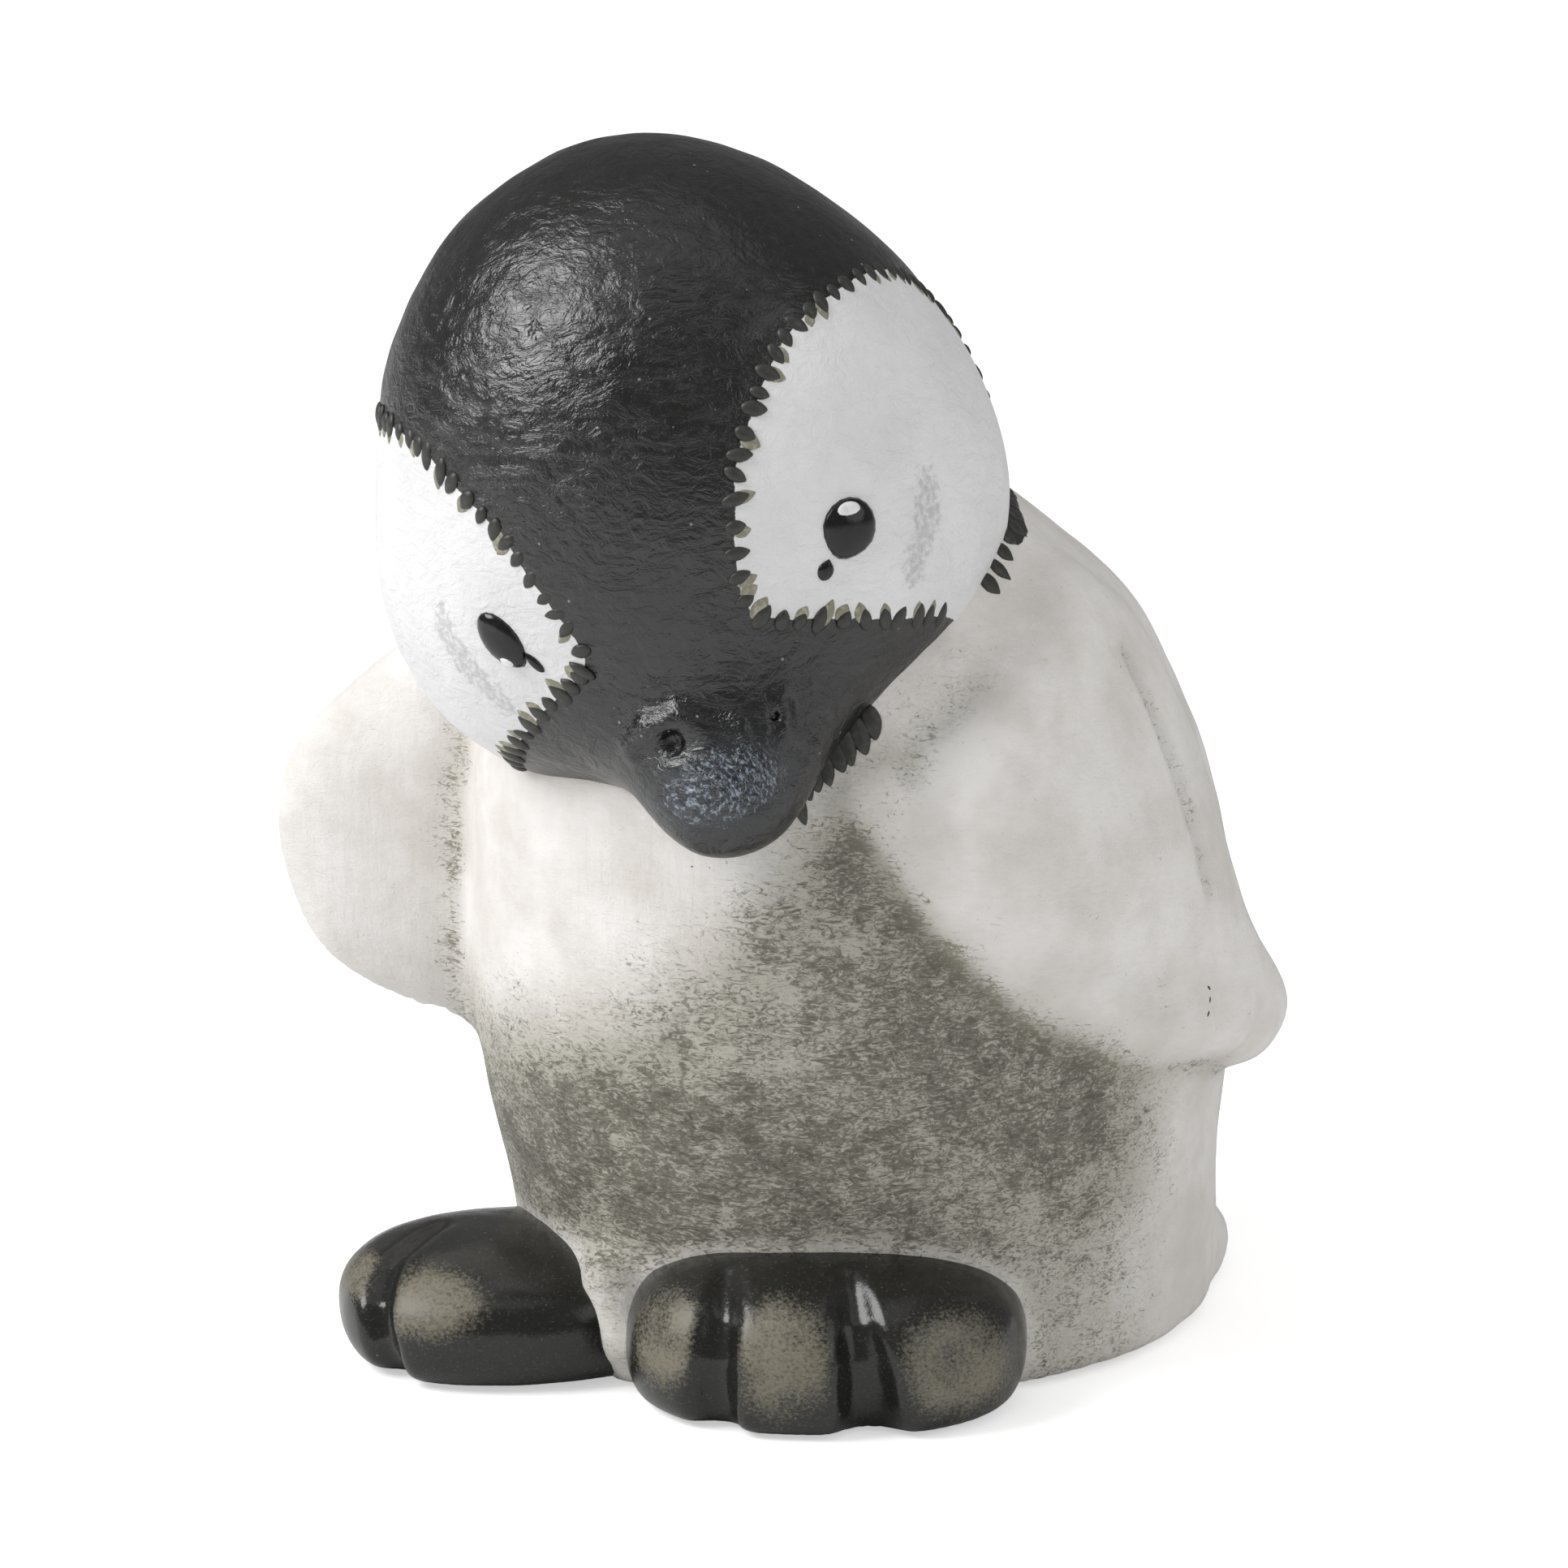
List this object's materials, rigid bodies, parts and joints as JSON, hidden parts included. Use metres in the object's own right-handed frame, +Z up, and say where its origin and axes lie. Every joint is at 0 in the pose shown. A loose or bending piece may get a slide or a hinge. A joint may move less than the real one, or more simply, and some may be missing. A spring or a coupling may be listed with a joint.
{
  "type": "penguin chick figurine",
  "caption": "Sitting penguin chick ornament with a bowed, tilted head, a short beak, flippers held from a round body and toed feet, painted, standing on a felt sole.",
  "frame": {"origin": "on the underside of the felt sole, under the upright axis of the body", "axes": "+Z up, -Y the way the body faces, +X towards the chick's left side"},
  "size_m": [0.1096, 0.1167, 0.1464],
  "materials": {
    "body_paint": "matte off-white and grey paint, brushed, on cast stone resin",
    "head_paint": "satin black cap and matte white cheeks painted on cast stone resin",
    "beak_paint": "satin black paint with a dry-brushed silver grey tip on cast stone resin",
    "flipper_paint": "matte off-white paint on cast stone resin",
    "foot_paint": "glossy black paint with dry-brushed grey toes on cast stone resin",
    "eye_glass": "polished opaque black glass",
    "raw_casting": "unpainted cast stone resin",
    "felt": "pressed black felt",
    "pin_steel": "plain steel pin"
  },
  "bodies": {
    "root": {"base_felt": "felt", "base_plate": "raw_casting", "beak": "beak_paint", "beak_pin": "pin_steel", "body_shell": "body_paint", "eye_left": "eye_glass", "eye_right": "eye_glass", "flipper_left": "flipper_paint", "flipper_pins": "pin_steel", "flipper_right": "flipper_paint", "foot_left": "foot_paint", "foot_pins": "pin_steel", "foot_right": "foot_paint", "head_shell": "head_paint", "neck_pin": "pin_steel", "tail": "body_paint"}
  },
  "joints": []
}
